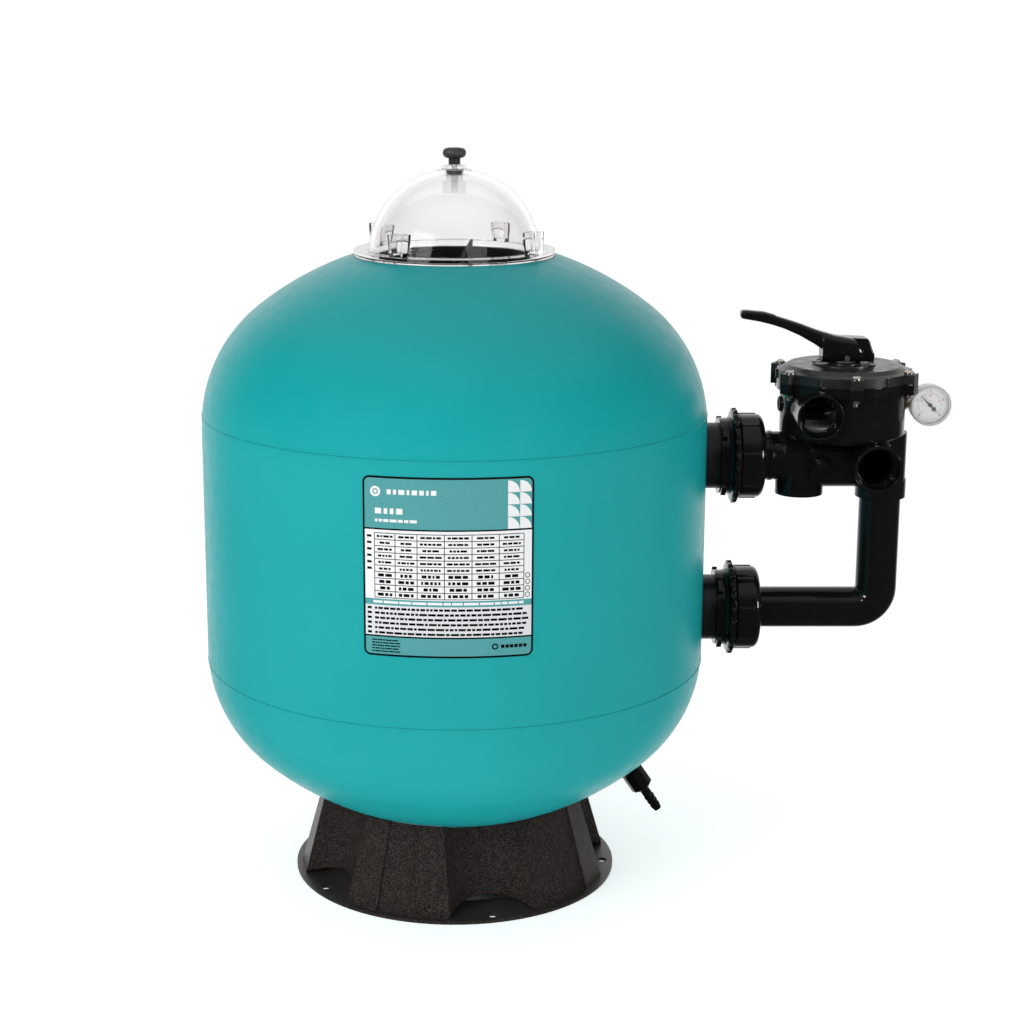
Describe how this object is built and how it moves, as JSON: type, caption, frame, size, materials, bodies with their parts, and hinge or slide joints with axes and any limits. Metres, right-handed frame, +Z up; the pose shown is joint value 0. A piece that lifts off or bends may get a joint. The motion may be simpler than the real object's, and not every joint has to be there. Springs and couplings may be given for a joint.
{
  "type": "sand filter tank",
  "caption": "Floor-standing side-mount sand filter: dished tank with clear domed lid, fluted base, selector valve, pressure gauge, return pipe and drain.",
  "frame": {"origin": "on the floor at the centre of the base flange, on the tank's axis", "axes": "+Z up along the tank's axis, +X towards the ports and selector valve, -Y towards the data plate (front)"},
  "size_m": [0.9043, 0.6108, 0.8965],
  "materials": {
    "shell": "glossy gel coat",
    "plate": "printed film",
    "base": "grained moulding",
    "clear_plastic": "clear polycarbonate",
    "gauge_glass": "clear",
    "black_plastic": "satin gloss moulding",
    "sleeve": "satin",
    "rubber": "matte",
    "pipe_plastic": "extruded",
    "steel": "bright",
    "brass": "machined",
    "gauge_steel": "polished",
    "dial_white": "satin",
    "pointer_black": "satin"
  },
  "bodies": {
    "filter": {"tank_shell": "shell", "data_plate": "plate", "base_skirt": "base", "neck_collar": "black_plastic", "upper_bulkhead": "black_plastic", "lower_bulkhead": "black_plastic", "port_inner_gaskets": "rubber", "port_spacers": "sleeve", "port_clamp_rings": "black_plastic", "port_locknuts": "black_plastic", "port_union_seals": "rubber", "diffuser_pipe": "pipe_plastic", "diffuser_elbow": "pipe_plastic", "diffuser_riser": "pipe_plastic", "diffuser_head": "pipe_plastic", "air_strainer": "black_plastic", "underdrain_pipe": "pipe_plastic", "underdrain_elbow": "pipe_plastic", "underdrain_riser": "pipe_plastic", "underdrain_hub": "pipe_plastic", "laterals": "pipe_plastic", "drain_bulkhead": "black_plastic", "drain_inner_gasket": "rubber", "drain_outer_gasket": "rubber", "drain_locknut": "black_plastic", "valve_body": "black_plastic", "cover_seal": "rubber", "valve_cover": "black_plastic", "cover_screws": "steel", "cover_nuts": "steel", "valve_spring": "steel", "sight_glass": "clear_plastic", "sight_ring": "black_plastic", "manifold_plug": "black_plastic", "gauge_adaptor": "brass", "gauge_housing": "gauge_steel", "gauge_bezel": "gauge_steel", "gauge_dial": "dial_white", "gauge_lens": "gauge_glass", "gauge_works": "brass", "return_pipe": "black_plastic"},
    "lid_thread": {"lid_seal": "rubber"},
    "lid": {"lid_dome": "clear_plastic", "relief_body": "clear_plastic", "relief_nut": "clear_plastic"},
    "relief_thread": {"relief_seal": "rubber"},
    "relief": {"relief_knob": "black_plastic"},
    "upper_union": {"upper_union_nut": "black_plastic"},
    "lower_union": {"lower_union_nut": "black_plastic"},
    "drain_tail": {"drain_washer": "rubber", "drain_barb": "black_plastic"},
    "drain_cap": {"drain_nut": "black_plastic"},
    "selector": {"thrust_washer": "pipe_plastic"},
    "diverter": {"rotor": "pipe_plastic", "spider_gasket": "rubber", "handle_pin": "steel", "stem_seal": "rubber"},
    "lever": {"handle": "black_plastic"},
    "pointer": {"gauge_needle": "pointer_black"}
  },
  "joints": [
    {"name": "lid_lift", "type": "slide", "parent": "filter", "child": "lid_thread", "axis": [0, 0, 1], "range_m": [0, 0.015]},
    {"name": "lid_turn", "type": "hinge", "parent": "lid_thread", "child": "lid", "pos_m": [0, 0, 0.77], "axis": [0, 0, 1], "range_deg": [0, 900]},
    {"name": "relief_lift", "type": "slide", "parent": "lid", "child": "relief_thread", "axis": [0, 0, 1], "range_m": [0, 0.003]},
    {"name": "relief_turn", "type": "hinge", "parent": "relief_thread", "child": "relief", "pos_m": [0, 0, 0.88], "axis": [0, 0, 1], "range_deg": [0, 540]},
    {"name": "upper_union_turn", "type": "hinge", "parent": "filter", "child": "upper_union", "pos_m": [0.35, 0, 0.526], "axis": [1, 0, 0], "range_deg": [0, 1080]},
    {"name": "lower_union_turn", "type": "hinge", "parent": "filter", "child": "lower_union", "pos_m": [0.35, 0, 0.3345], "axis": [1, 0, 0], "range_deg": [0, 1080]},
    {"name": "drain_back_off", "type": "slide", "parent": "filter", "child": "drain_tail", "axis": [0.5635, 0, -0.8261], "range_m": [0, 0.012]},
    {"name": "drain_turn", "type": "hinge", "parent": "drain_tail", "child": "drain_cap", "pos_m": [0.22789, 0, 0.11182], "axis": [0.5635, 0, -0.8261], "range_deg": [0, 2160]},
    {"name": "selector_turn", "type": "hinge", "parent": "filter", "child": "selector", "pos_m": [0.47, 0, 0.6412], "axis": [0, 0, 1], "continuous": true},
    {"name": "diverter_lift", "type": "slide", "parent": "selector", "child": "diverter", "axis": [0, 0, 1], "range_m": [0, 0.0065], "stiffness_N_per_m": 500, "springref_m": -0.012, "deforming": ["valve_spring"]},
    {"name": "lever_tilt", "type": "hinge", "parent": "diverter", "child": "lever", "pos_m": [0.47, 0, 0.648], "axis": [0, -1, 0], "range_deg": [0, 12]},
    {"name": "pointer_turn", "type": "hinge", "parent": "filter", "child": "pointer", "pos_m": [0.574, -0.01, 0.59], "axis": [0, 1, 0], "range_deg": [0, 270]}
  ],
  "couplings": [
    {"joint": "lid_lift", "follows": "lid_turn", "m_per_rad": 0.00095493},
    {"joint": "relief_lift", "follows": "relief_turn", "m_per_rad": 0.00031831},
    {"joint": "drain_back_off", "follows": "drain_turn", "m_per_rad": 0.00031831},
    {"joint": "diverter_lift", "follows": "lever_tilt", "m_per_rad": 0.0296}
  ]
}
